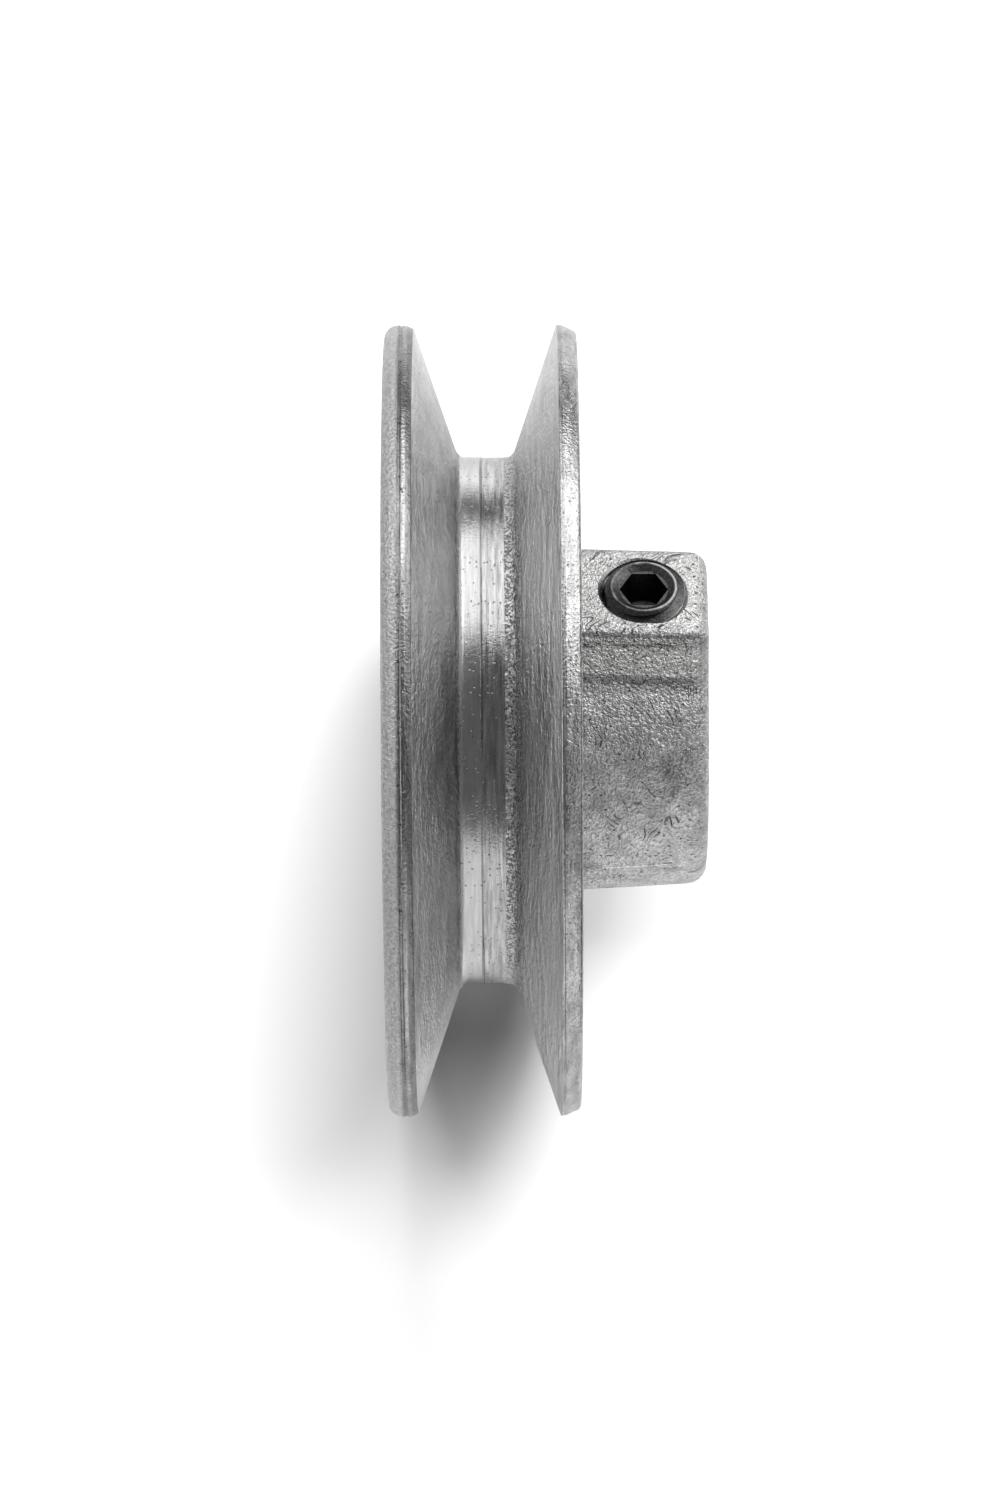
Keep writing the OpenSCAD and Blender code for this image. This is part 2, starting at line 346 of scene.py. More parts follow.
def hub_outline(z, level, angles):
    """Distance from the bore's axis to the hub and its boss at height z, for each angle from +X.

    level is how far the outline lies outside the drafted walls, or inside them if negative.
    """
    hub = hub_r_at(z) + level
    flat = flat_x_at(z) + level
    side_normal = np.array([math.sin(SIDE_TAPER), math.cos(SIDE_TAPER)])
    side_dist = float(side_normal @ [flat_x_at(z), FLAT_HALF_W]) + level
    down = np.array([-math.cos(SIDE_TAPER), math.sin(SIDE_TAPER)])
    corner = np.array([flat, (side_dist - flat * side_normal[0]) / side_normal[1]])
    edge_r = max(FLAT_EDGE_R + level, BOSS_LEAST_R)
    root_r = max(BOSS_ROOT_R - level, BOSS_LEAST_R)
    # The root fillet's middle lies a fillet radius off both the side and the hub
    off_side = corner + side_normal * root_r
    reach = float(off_side @ down)
    run = -reach - math.sqrt(reach ** 2 - float(off_side @ off_side) + (hub + root_r) ** 2)
    foot = off_side + down * run
    foot /= np.linalg.norm(foot)
    along = np.array([-foot[1], foot[0]])
    toe = foot * hub
    knee = corner + down * np.cross(toe - corner, along) / np.cross(down, along)
    line = rounded([(flat, 0, 0), (*corner, edge_r), (*knee, root_r), (*toe, 0)], closed=False)
    line = np.array(divided(line, BOSS_STEP)[:-1])
    line = line[: int(np.argmin(np.hypot(*(line - toe).T))) + 1]
    turned = np.arctan2(line[:, 1], line[:, 0])
    return np.interp(np.abs(angles), turned, np.hypot(line[:, 0], line[:, 1]), right=hub)


def swell_boss(piece):
    """Moves the spun hub's skin out to the boss, from the web round the nose to the bore."""
    points = point_array(piece)
    radius = np.hypot(points[:, 0], points[:, 1])
    angles = np.arctan2(points[:, 1], points[:, 0])
    heights = points[:, 2]
    hub_foot = hub_r_at(WEB_FRONT_Z) + CORE_FILLET_R
    nose_edge = hub_r_at(NOSE_Z) - NOSE_R
    bore_edge = BORE_R + BORE_CHAMFER
    ring_edge = RING_R - CORE_FILLET_R
    tiny = 0.002
    margin = 0.2
    on_web = (abs(heights - WEB_FRONT_Z) < tiny) & (radius > hub_foot - margin)
    on_web &= radius < ring_edge + tiny
    on_nose = (abs(heights - NOSE_Z) < tiny) & (radius < nose_edge + margin)
    on_wall = (heights > WEB_FRONT_Z - tiny) & (radius < hub_foot + tiny)
    on_wall &= (radius > bore_edge + 0.5) & ~on_web & ~on_nose
    new_radius = radius.copy()
    rows = np.round(np.stack([radius, heights], axis=1), 3)
    for row in np.unique(rows[on_wall], axis=0):
        chosen = on_wall & (abs(rows - row).max(axis=1) < tiny)
        level = float(row[0]) - hub_r_at(float(row[1]))
        new_radius[chosen] = hub_outline(float(row[1]), level, angles[chosen])
    web_start = hub_outline(WEB_FRONT_Z, CORE_FILLET_R, angles)
    share = np.clip((ring_edge - radius) / (ring_edge - hub_foot), 0, 1)
    new_radius[on_web] = (radius + (web_start - hub_foot) * share)[on_web]
    nose_start = hub_outline(NOSE_Z, -NOSE_R, angles)
    share = np.clip((radius - bore_edge) / (nose_edge - bore_edge), 0, 1)
    new_radius[on_nose] = (bore_edge + (nose_start - bore_edge) * share)[on_nose]
    off_seam = abs(np.sin(angles - HUB_SEAM_ANGLE))
    on_seam = on_wall & (off_seam < math.sin(math.pi / CASTING_STEPS))
    on_seam &= (heights > HUB_SEAM_Z[0]) & (heights < HUB_SEAM_Z[1])
    new_radius[on_seam] += SEAM_RISE
    points[:, 0] *= new_radius / radius
    points[:, 1] *= new_radius / radius
    set_points(piece, points)


def thread(name, crest_r, depth, crest_w, start, turns):
    """A solid rod with a helical thread round it, standing upright from that start height."""
    flank_w = depth * math.tan(THREAD_FLANK_ANGLE)
    root_w = THREAD_PITCH - crest_w - 2 * flank_w
    root_r = crest_r - depth
    rod = draw_section(name, [
        (root_r, start), (root_r, start + root_w), (crest_r, start + root_w + flank_w),
        (crest_r, start + root_w + flank_w + crest_w), (root_r, start + THREAD_PITCH),
    ], closed=False)
    spin_section(rod, SCREW_STEPS, turns, THREAD_PITCH)
    return rod


def screw_hole_cutter():
    """Round cutter with a chamfer at the boss's flat, from inside the bore outwards."""
    mouth = flat_x_at(SCREW_Z)
    reach = HOLE_CHAMFER + 1.5
    cutter = draw_section("screw_hole_cutter", [
        (0, HOLE_START_X), (HOLE_R, HOLE_START_X), (HOLE_R, mouth - HOLE_CHAMFER),
        (HOLE_R + reach, mouth - HOLE_CHAMFER + reach), (0, mouth - HOLE_CHAMFER + reach),
    ])
    spin_section(cutter, SCREW_STEPS)
    lay_along_x(cutter)
    return cutter


def tapped_thread_cutter():
    """Thread that the tap leaves in the boss's hole, a little outside the set screw's own."""
    start = BORE_R - 1.5 * THREAD_PITCH
    turns = math.ceil((flat_x_at(SCREW_Z) + 1.5 * THREAD_PITCH - start) / THREAD_PITCH)
    cutter = thread(
        "tapped_thread_cutter", HOLE_R + TAPPED_DEPTH, TAPPED_DEPTH + PAST, TAPPED_CREST_W, start,
        turns,
    )
    lay_along_x(cutter)
    return cutter


def paint_zones(piece):
    """Gives each face the finish of its zone, as named in CASTING_ZONES."""
    mesh = piece.data
    middles = np.empty(len(mesh.polygons) * 3)
    normals = np.empty(len(mesh.polygons) * 3)
    mesh.polygons.foreach_get("center", middles)
    mesh.polygons.foreach_get("normal", normals)
    x, y, z = middles.reshape(-1, 3).T / MM
    nx, ny, _ = normals.reshape(-1, 3).T
    radius = np.hypot(x, y)
    outward = (nx * x + ny * y) / radius
    zone = np.full(len(mesh.polygons), CASTING_ZONES.index("cast_skin"))
    in_groove = abs(z - GROOVE_MID_Z) < groove_half(radius) + WALL_SLACK
    in_groove &= (radius > FLOOR_R - 2 * SEAM_STEP) & (outward > 0.1)
    zone[in_groove] = CASTING_ZONES.index("groove_wall")
    on_floor = in_groove & (radius < FLOOR_R + FLOOR_BAND_W) & (z < PITTED_Z)
    zone[on_floor] = CASTING_ZONES.index("groove_floor")
    on_tip = (radius > RIM_R - TIP_BAND_W) & (outward > 0.45)
    zone[on_tip] = CASTING_ZONES.index("rim_band")
    in_bore = radius < BORE_R + BORE_CHAMFER + BORE_SLACK
    in_hole = (x > 0) & (nx < 0.9) & (np.hypot(y, z - SCREW_Z) < HOLE_R + TAPPED_DEPTH)
    zone[in_hole | in_bore] = CASTING_ZONES.index("bored_metal")
    mesh.polygons.foreach_set("material_index", zone.astype(np.int32))
    mesh.update()


def pulley_casting():
    outline = divided(rounded(casting_corners()), SECTION_STEP)
    piece = draw_section("pulley_casting", outline)
    spin_section(piece, CASTING_STEPS)
    swell_boss(piece)
    cut_with(piece, screw_hole_cutter(), "DIFFERENCE")
    cut_with(piece, tapped_thread_cutter(), "DIFFERENCE")
    paint_zones(piece)
    make_active(piece)
    bpy.ops.object.shade_smooth_by_angle(angle=math.radians(32))
    weighted = piece.modifiers.new("even_normals", "WEIGHTED_NORMAL")
    weighted.keep_sharp = True
    bpy.ops.object.modifier_apply(modifier=weighted.name)
    return piece


# Set screw

def screw_blank():
    """The turned blank: chamfered socket end with its dish, and cup point, on which it stands."""
    outer_r = THREAD_R + PAST
    blank = draw_section("screw_blank", [
        (0, SCREW_TIP_X + CUP_DEPTH), (CUP_R - CUP_RIM_W, SCREW_TIP_X), (CUP_R, SCREW_TIP_X),
        (outer_r, SCREW_TIP_X + outer_r - CUP_R), (outer_r, SCREW_TOP_X - outer_r + SOCKET_RIM_R),
        (SOCKET_RIM_R, SCREW_TOP_X), (DISH_R, SCREW_TOP_X),
        (KEY_CORNER_R, SCREW_TOP_X - DISH_DEPTH), (0, SCREW_TOP_X - DISH_DEPTH),
    ])
    spin_section(blank, SCREW_STEPS)
    return blank


def key_cutter():
    """Hexagonal socket, with two of its corners pointing along the bore."""
    deselect_all()
    bpy.ops.mesh.primitive_cylinder_add(
        vertices=6, radius=KEY_CORNER_R * MM, depth=KEY_DEPTH * MM,
        location=(0, 0, (SCREW_TOP_X - KEY_DEPTH / 2) * MM), rotation=(0, 0, math.radians(30)),
    )
    hexagon = bpy.context.object
    bpy.ops.object.transform_apply(location=True, rotation=True, scale=True)
    return hexagon


def drill_cutter():
    """The hole drilled for the socket, with its cone below the hexagon."""
    bottom = SCREW_TOP_X - KEY_DEPTH
    drill = draw_section("drill_cutter", [
        (0, bottom - DRILL_R * math.tan(DRILL_SLOPE)), (DRILL_R, bottom),
        (DRILL_R, SCREW_TOP_X + 1), (0, SCREW_TOP_X + 1),
    ])
    spin_section(drill, SCREW_STEPS)
    return drill


def pulley_set_screw():
    start = SCREW_TIP_X - 2.1 * THREAD_PITCH
    turns = math.ceil((SCREW_TOP_X - SCREW_TIP_X) / THREAD_PITCH) + 3
    piece = thread("set_screw_black", THREAD_R, THREAD_DEPTH, THREAD_CREST_W, start, turns)
    cut_with(piece, screw_blank(), "INTERSECT")
    cut_with(piece, key_cutter(), "DIFFERENCE")
    cut_with(piece, drill_cutter(), "DIFFERENCE")
    lay_along_x(piece)
    make_active(piece)
    bpy.ops.object.shade_smooth_by_angle(angle=math.radians(28))
    return piece


# Shader helpers

def feed(tree, socket, value):
    """Sets an input socket to a value, or links it from another node's output."""
    if isinstance(value, bpy.types.NodeSocket):
        tree.links.new(value, socket)
    else:
        socket.default_value = value


def add_node(tree, kind, sockets=None, **settings):
    made = tree.nodes.new("ShaderNode" + kind)
    for name, value in settings.items():
        setattr(made, name, value)
    for key, value in (sockets or {}).items():
        feed(tree, made.inputs[key], value)
    return made


def maths(tree, operation, *values, clamp=False):
    made = add_node(tree, "Math", dict(enumerate(values)), operation=operation, use_clamp=clamp)
    return made.outputs[0]


def times(tree, first, second, clamp=False):
    return maths(tree, "MULTIPLY", first, second, clamp=clamp)


def times_plus(tree, value, factor, base):
    return maths(tree, "MULTIPLY_ADD", value, factor, base)


def vector_maths(tree, operation, *values):
    made = add_node(tree, "VectorMath", dict(enumerate(values)), operation=operation)
    return made.outputs["Value" if operation == "LENGTH" else "Vector"]


def spread(tree, value, low, high, to_low=0.0, to_high=1.0):
    """Value rescaled from low..high to to_low..to_high, and held between them."""
    made = add_node(tree, "MapRange", {
        "Value": value, "From Min": low, "From Max": high, "To Min": to_low, "To Max": to_high,
    })
    return made.outputs["Result"]


def noise(tree, vector, scale, detail=2.0, roughness=0.5):
    made = add_node(tree, "TexNoise", {
        "Vector": vector, "Scale": scale, "Detail": detail, "Roughness": roughness,
    })
    return made.outputs["Fac"]


def near(tree, value, middle, full, none):
    """1 where a value is within a distance of the middle, falling to 0 at another distance."""
    away = maths(tree, "ABSOLUTE", maths(tree, "SUBTRACT", value, middle))
    return spread(tree, away, full, none, 1.0, 0.0)


def grey(level):
    return (level, level, level, 1)


def blend_colours(tree, share, first, second):
    made = add_node(tree, "Mix", {0: share, 6: first, 7: second}, data_type="RGBA")
    return made.outputs[2]


def tinted(tree, colour, share, level):
    """The colour, taken towards a grey of that level by a share."""
    return blend_colours(tree, share, colour, grey(level))


def new_group(name, inputs, outputs):
    """A shader node group with float inputs, given with their defaults, and named outputs."""
    tree = bpy.data.node_groups.new(name, "ShaderNodeTree")
    for socket, default in inputs.items():
        made = tree.interface.new_socket(socket, in_out="INPUT", socket_type="NodeSocketFloat")
        made.default_value = default
    for socket, kind in outputs.items():
        tree.interface.new_socket(socket, in_out="OUTPUT", socket_type="NodeSocket" + kind)
    return tree, tree.nodes.new("NodeGroupInput"), tree.nodes.new("NodeGroupOutput")


def put_out(tree, outer, **results):
    for name, value in results.items():
        tree.links.new(value, outer.inputs[name.replace("_", " ")])


def use_group(tree, group, **inputs):
    made = tree.nodes.new("ShaderNodeGroup")
    made.node_tree = group
    for name, value in inputs.items():
        feed(tree, made.inputs[name.replace("_", " ")], value)
    return made.outputs


# Shared effects of the metals

def make_ring_place():
    """Where a point lies: its millimetres, a unit vector outward, its radius and its height."""
    tree, _, outer = new_group("ring_place", {}, {
        "Place": "Vector", "Around": "Vector", "Radius": "Float", "Height": "Float",
    })
    metres = add_node(tree, "TexCoord").outputs["Object"]
    place = vector_maths(tree, "MULTIPLY", metres, (1 / MM, 1 / MM, 1 / MM))
    level = vector_maths(tree, "MULTIPLY", place, (1, 1, 0))
    height = add_node(tree, "SeparateXYZ", {"Vector": place}).outputs["Z"]
    put_out(
        tree, outer, Place=place, Around=vector_maths(tree, "NORMALIZE", level),
        Radius=vector_maths(tree, "LENGTH", level), Height=height,
    )
    return tree


def make_cast_grain(ring_place):
    """Skin of a die casting: fine grain, lumps, pits and the flow lines where the metal met."""
    tree, given, outer = new_group(
        "cast_grain",
        {
            "Grains Per mm": 3.6, "Grain Depth": 0.04, "Lump Depth": 0.06, "Pit Depth": 0.09,
            "Pit Share": 0.3, "Flow Depth": 0.06,
        },
        {"Relief": "Float", "Grain": "Float", "Mottle": "Float", "Pits": "Float", "Flow": "Float"},
    )
    place = use_group(tree, ring_place)["Place"]
    grained = add_node(
        tree, "VectorMath", {0: place, "Scale": given.outputs["Grains Per mm"]}, operation="SCALE"
    ).outputs["Vector"]
    fine = spread(tree, noise(tree, grained, 1.0, 2, 0.6), 0.3, 0.7)
    lumps = noise(tree, place, 1.5, 2, 0.5)
    mottle = spread(tree, noise(tree, place, 0.45, 3, 0.6), 0.3, 0.7)

    swirl = add_node(tree, "TexNoise", {
        "Vector": place, "Scale": 0.13, "Detail": 2.0, "Distortion": 0.5,
    })
    fronts = maths(tree, "FRACT", times(tree, swirl.outputs["Fac"], 26.0))
    patches = spread(tree, noise(tree, place, 0.55, 1), 0.54, 0.62)
    flow = times(tree, near(tree, fronts, 0.5, 0.0, 0.14), patches)

    cells = add_node(tree, "TexVoronoi", {"Vector": grained, "Scale": 0.6}, feature="F1")
    some = add_node(tree, "SeparateColor", {"Color": cells.outputs["Color"]}).outputs["Red"]
    pitted = maths(tree, "LESS_THAN", some, given.outputs["Pit Share"])
    pits = times(tree, spread(tree, cells.outputs["Distance"], 0.1, 0.3, 1.0, 0.0), pitted)

    relief = times(tree, fine, given.outputs["Grain Depth"])
    relief = maths(tree, "ADD", relief, times(tree, lumps, given.outputs["Lump Depth"]))
    relief = maths(tree, "SUBTRACT", relief, times(tree, pits, given.outputs["Pit Depth"]))
    relief = maths(tree, "SUBTRACT", relief, times(tree, flow, given.outputs["Flow Depth"]))
    put_out(tree, outer, Relief=relief, Grain=fine, Mottle=mottle, Pits=pits, Flow=flow)
    return tree


def make_boss_place(ring_place):
    """Parts of the hub's boss: its flat, its rough drafted sides and the smooth roundings."""
    tree, _, outer = new_group(
        "boss_place", {}, {"Flat": "Float", "Sides": "Float", "Roundings": "Float"}
    )
    ring = use_group(tree, ring_place)
    place = add_node(tree, "SeparateXYZ", {"Vector": ring["Place"]})
    above_screw = maths(tree, "SUBTRACT", place.outputs["Z"], SCREW_Z)
    x = maths(tree, "ADD", place.outputs["X"], times(tree, above_screw, math.tan(HUB_DRAFT)))
    y = maths(tree, "ABSOLUTE", place.outputs["Y"])
    up_side = maths(
        tree, "SUBTRACT", times(tree, x, math.cos(SIDE_TAPER)), times(tree, y, math.sin(SIDE_TAPER))
    )
    top = FLAT_X * math.cos(SIDE_TAPER) - FLAT_HALF_W * math.sin(SIDE_TAPER)
    middle_z = (WEB_FRONT_Z + NOSE_Z) / 2
    half_length = NOSE_Z - middle_z
    on_hub = times(
        tree, near(tree, place.outputs["Z"], middle_z, half_length - 1.4, half_length - 0.5),
        spread(tree, ring["Radius"], RING_R - 2.5, RING_R - 1.8, 1.0, 0.0),
    )
    edge = near(tree, up_side, top - 0.9, 0.5, 0.85)
    root = near(tree, up_side, top - BOSS_FOOT_DROP, 0.3, 0.9)
    put_out(
        tree, outer, Flat=times(tree, spread(tree, up_side, top + 0.2, top + 0.6), on_hub),
        Sides=times(tree, near(tree, up_side, top - 2.8, 1.6, 2.2), on_hub),
        Roundings=times(tree, maths(tree, "MAXIMUM", edge, root), on_hub),
    )
    return tree


def make_draw_streaks(ring_place):
    """Lines that run round the pulley, drawn by the die's slides and by the belt."""
    tree, given, outer = new_group(
        "draw_streaks", {"Lines Per mm": 4.0, "Length Share": 1.5},
        {"Broad": "Float", "Fine": "Float"},
    )
    ring = use_group(tree, ring_place)
    stretched = add_node(
        tree, "VectorMath", {0: ring["Around"], "Scale": given.outputs["Length Share"]},
        operation="SCALE",
    ).outputs["Vector"]
    across = maths(tree, "ADD", ring["Radius"], ring["Height"])
    rows = times(tree, across, given.outputs["Lines Per mm"])
    rows = add_node(tree, "CombineXYZ", {"Z": rows}).outputs["Vector"]
    spot = vector_maths(tree, "ADD", stretched, rows)
    put_out(
        tree, outer, Broad=spread(tree, noise(tree, spot, 0.3, 3), 0.36, 0.64),
        Fine=spread(tree, noise(tree, spot, 1.0, 3, 0.65), 0.36, 0.64),
    )
    return tree


# Finishes

def metal(name, roughness):
    """A new metal. Its plain roughness is for a viewer that leaves the textures out."""
    material = bpy.data.materials.new(name)
    material.use_nodes = True
    shader = material.node_tree.nodes["Principled BSDF"]
    shader.inputs["Metallic"].default_value = 1.0
    shader.inputs["Specular Tint"].default_value = grey(0.55)
    shader.inputs["Roughness"].default_value = roughness
    return material, material.node_tree, shader


def finish_shader(tree, shader, colour, roughness, relief):
    """Links a colour, a roughness and a relief in millimetres to a metal's shader."""
    bump = add_node(tree, "Bump", {"Height": relief, "Distance": MM, "Strength": 1.0})
    tree.links.new(colour, shader.inputs["Base Color"])
    tree.links.new(roughness, shader.inputs["Roughness"])
    tree.links.new(bump.outputs["Normal"], shader.inputs["Normal"])


def cast_skin_material(groups):
    """Bare zinc as it left the die: grey, grainy, dark in its pits and laps, rough on the boss,
    with painted shade on the boss's roundings.
    """
    material, tree, shader = metal("cast_skin", 0.5)
    ring = use_group(tree, groups["ring_place"])
    boss = use_group(tree, groups["boss_place"])
    grain = use_group(
        tree, groups["cast_grain"], Grains_Per_mm=3.4, Flow_Depth=0.09,
        Grain_Depth=times_plus(tree, boss["Sides"], 0.16, 0.09),
        Pit_Depth=times_plus(tree, boss["Sides"], 0.14, 0.12),
        Pit_Share=times_plus(tree, boss["Sides"], 0.55, 0.25),
        Lump_Depth=times_plus(tree, boss["Sides"], 0.4, 0.08),
    )
    bare = maths(tree, "MAXIMUM", times(tree, boss["Flat"], 0.6), boss["Sides"])
    colour = blend_colours(tree, grain["Mottle"], grey(0.54), grey(0.9))
    colour = blend_colours(tree, times(tree, bare, 0.9), colour, BARE_ZINC)
    # Painted shade: the boss's edge and root roundings are painted darker, for the dark bands that
    # shade and dark reflections lay along them.
    colour = tinted(tree, colour, times(tree, boss["Roundings"], 0.75), 0.34)
    hollow = maths(tree, "SUBTRACT", 1.0, grain["Grain"])
    hollow = times(tree, hollow, times_plus(tree, boss["Sides"], -0.4, 0.72))
    colour = tinted(tree, colour, hollow, 0.24)

    dark = times(tree, maths(tree, "MAXIMUM", grain["Flow"], grain["Pits"]), 0.85)
    to_stain = vector_maths(tree, "SUBTRACT", ring["Place"], STAIN_PLACE)
    stain = times_plus(tree, grain["Mottle"], 2.4, vector_maths(tree, "LENGTH", to_stain))
    stain = spread(tree, stain, 1.6, 3.6, 0.65, 0.0)
    stain = times(tree, stain, times_plus(tree, grain["Grain"], -0.8, 1.0))
    colour = tinted(tree, colour, maths(tree, "MAXIMUM", dark, stain), 0.08)

    across_seam = (-math.sin(HUB_SEAM_ANGLE), math.cos(HUB_SEAM_ANGLE), 0)
    off_seam = add_node(
        tree, "VectorMath", {0: ring["Place"], 1: across_seam}, operation="DOT_PRODUCT"
    ).outputs["Value"]
    seam_length = near(tree, ring["Height"], sum(HUB_SEAM_Z) / 2, 2.8, 3.6)
    seam = times(tree, near(tree, off_seam, 0.0, 0.03, 0.11), seam_length)
    colour = tinted(tree, colour, times(tree, seam, 0.8), 1.0)

    roughness = spread(tree, grain["Mottle"], 0, 1, 0.42, 0.3)
    roughness = times_plus(tree, boss["Sides"], 0.05, roughness)
    roughness = times_plus(tree, boss["Roundings"], -0.12, roughness)
    finish_shader(tree, shader, colour, roughness, grain["Relief"])
    return material


def groove_wall_material(groups):
    """Satin zinc with soft lines round the groove, pitted where the front wall meets the floor,
    with painted shade where the walls meet the floor.
    """
    material, tree, shader = metal("groove_wall", 0.4)
    shader.inputs["Specular Tint"].default_value = grey(0.45)
    streaks = groups["draw_streaks"]
    lines = use_group(tree, streaks, Lines_Per_mm=0.7, Length_Share=7.0)
    grit = use_group(tree, streaks, Lines_Per_mm=0.9, Length_Share=32.0)["Fine"]
    ring = use_group(tree, groups["ring_place"])
    specks = spread(tree, noise(tree, ring["Place"], 2.6, 2), 0.38, 0.62)
    front_side = spread(tree, ring["Height"], GROOVE_MID_Z, GROOVE_MID_Z + 1)
    near_floor = spread(tree, ring["Radius"], FLOOR_R + 1.2, FLOOR_R + 2.6, 1.0, 0.0)
    pores = spread(tree, noise(tree, ring["Place"], 3.8, 1), 0.5, 0.6)
    pits = times(tree, pores, times(tree, near_floor, front_side))
    # Painted shade: corner darkens the walls where they meet the floor, most on the back wall.
    corner = spread(tree, ring["Radius"], FLOOR_R + 0.3, FLOOR_R + 0.8, 0.6, 0.0)
    corner = maths(tree, "SUBTRACT", corner, times(tree, front_side, 0.4))

    colour = blend_colours(tree, lines["Broad"], grey(0.92), grey(1.0))
    line_share = times(tree, lines["Fine"], times_plus(tree, front_side, -0.12, 0.4))
    colour = tinted(tree, colour, line_share, 0.5)
    colour = tinted(tree, colour, times(tree, grit, 0.12), 0.5)
    colour = tinted(tree, colour, times(tree, specks, 0.12), 0.3)
    colour = tinted(tree, colour, times(tree, front_side, 0.15), 0.3)
    # dark holds the front wall's real pits and the painted shade in the corner.
    dark = times(tree, maths(tree, "MAXIMUM", pits, corner), 0.75, clamp=True)
    colour = tinted(tree, colour, dark, 0.1)
    roughness = spread(tree, lines["Broad"], 0.0, 1.0, 0.44, 0.28)
    relief = times_plus(tree, lines["Fine"], 0.12, times(tree, grit, 0.05))
    relief = times_plus(tree, pits, -0.08, relief)
    relief = times_plus(tree, specks, -0.035, relief)
    finish_shader(tree, shader, colour, roughness, relief)
    return material


def groove_floor_material(groups):
    """The brightest metal, with fine close lines round it and its front half drawn harder."""
    material, tree, shader = metal("groove_floor", 0.22)
    lines = use_group(tree, groups["draw_streaks"], Lines_Per_mm=3.2, Length_Share=5.0)
    height = use_group(tree, groups["ring_place"])["Height"]
    front_half = spread(tree, height, SEAM_Z, SEAM_Z + 0.1, 0.4, 1.0)
    grain = use_group(
        tree, groups["cast_grain"], Grains_Per_mm=4.5, Grain_Depth=0.008, Lump_Depth=0.01,
        Pit_Depth=0.03, Flow_Depth=0.0,
    )
    colour = blend_colours(tree, times(tree, lines["Fine"], front_half), grey(0.64), grey(0.34))
    seam = near(tree, height, SEAM_STEP_Z, 0.04, 0.1)
    seam = times(tree, seam, spread(tree, lines["Broad"], 0.2, 0.6))
    dark = times(tree, maths(tree, "MAXIMUM", grain["Pits"], seam), 0.65)
    colour = tinted(tree, colour, dark, 0.12)
    wear = maths(tree, "ADD", lines["Broad"], grain["Mottle"])
    roughness = spread(tree, wear, 0.4, 1.6, 0.3, 0.16)
    streaks = times(tree, lines["Fine"], times(tree, front_half, 0.03))
    finish_shader(tree, shader, colour, roughness, maths(tree, "ADD", streaks, grain["Relief"]))
    return material


def rim_band_material(groups):
    """Tips of the flanges: matte outside, dented beside the back lip, drawn and dulled on top, with
    painted shade on the back lip's crest.
    """
    material, tree, shader = metal("rim_band", 0.35)
    lines = use_group(tree, groups["draw_streaks"], Lines_Per_mm=2.6, Length_Share=9.0)
    height = use_group(tree, groups["ring_place"])["Height"]
    matte = spread(tree, height, 1.3, 1.6, 1.0, 0.0)
    dented = near(tree, height, BACK_DENT_Z, 0.12, 0.45)
    crest = spread(tree, height, BACK_CREST_Z - 0.05, BACK_CREST_Z + 0.15, 0.2, 0.7)
    # Painted shade: the back lip's crest is painted darker, for the dark reflections along it.
    on_lip = times(tree, crest, near(tree, height, BACK_CREST_Z + 0.5, 0.7, 0.9))
    grain = use_group(
        tree, groups["cast_grain"], Grains_Per_mm=3.4, Lump_Depth=0.03, Flow_Depth=0.02,
        Grain_Depth=times_plus(tree, matte, 0.07, 0.03),
        Pit_Depth=times_plus(tree, dented, 0.2, 0.04),
    )
    colour = blend_colours(tree, lines["Fine"], grey(0.4), grey(0.76))
    colour = tinted(tree, colour, times(tree, matte, 0.7), 0.84)
    hollow = times(tree, maths(tree, "SUBTRACT", 1.0, grain["Grain"]), 0.55)
    colour = tinted(tree, colour, hollow, 0.24)
    # This darkens the real dented line and, as painted shade, the back lip's crest.
    wear_and_shade = maths(tree, "MAXIMUM", on_lip, times(tree, dented, 0.6))
    pitted = times(tree, grain["Pits"], times_plus(tree, dented, 0.6, 0.25))
    colour = tinted(tree, colour, maths(tree, "MAXIMUM", wear_and_shade, pitted), 0.12)
    roughness = spread(tree, lines["Broad"], 0.0, 1.0, 0.3, 0.2)
    roughness = times_plus(tree, matte, 0.3, roughness)
    relief = times_plus(tree, lines["Fine"], 0.02, grain["Relief"])
    finish_shader(tree, shader, colour, roughness, relief)
    return material


def bored_metal_material(groups):
    """Bore and tapped hole: freshly cut metal with close tool lines."""
    material, tree, shader = metal("bored_metal", 0.25)
    lines = use_group(tree, groups["draw_streaks"], Lines_Per_mm=14.0, Length_Share=0.5)
    colour = blend_colours(tree, lines["Fine"], grey(0.56), grey(0.7))
    roughness = spread(tree, lines["Broad"], 0.0, 1.0, 0.32, 0.2)
    finish_shader(tree, shader, colour, roughness, times(tree, lines["Fine"], 0.01))
    return material


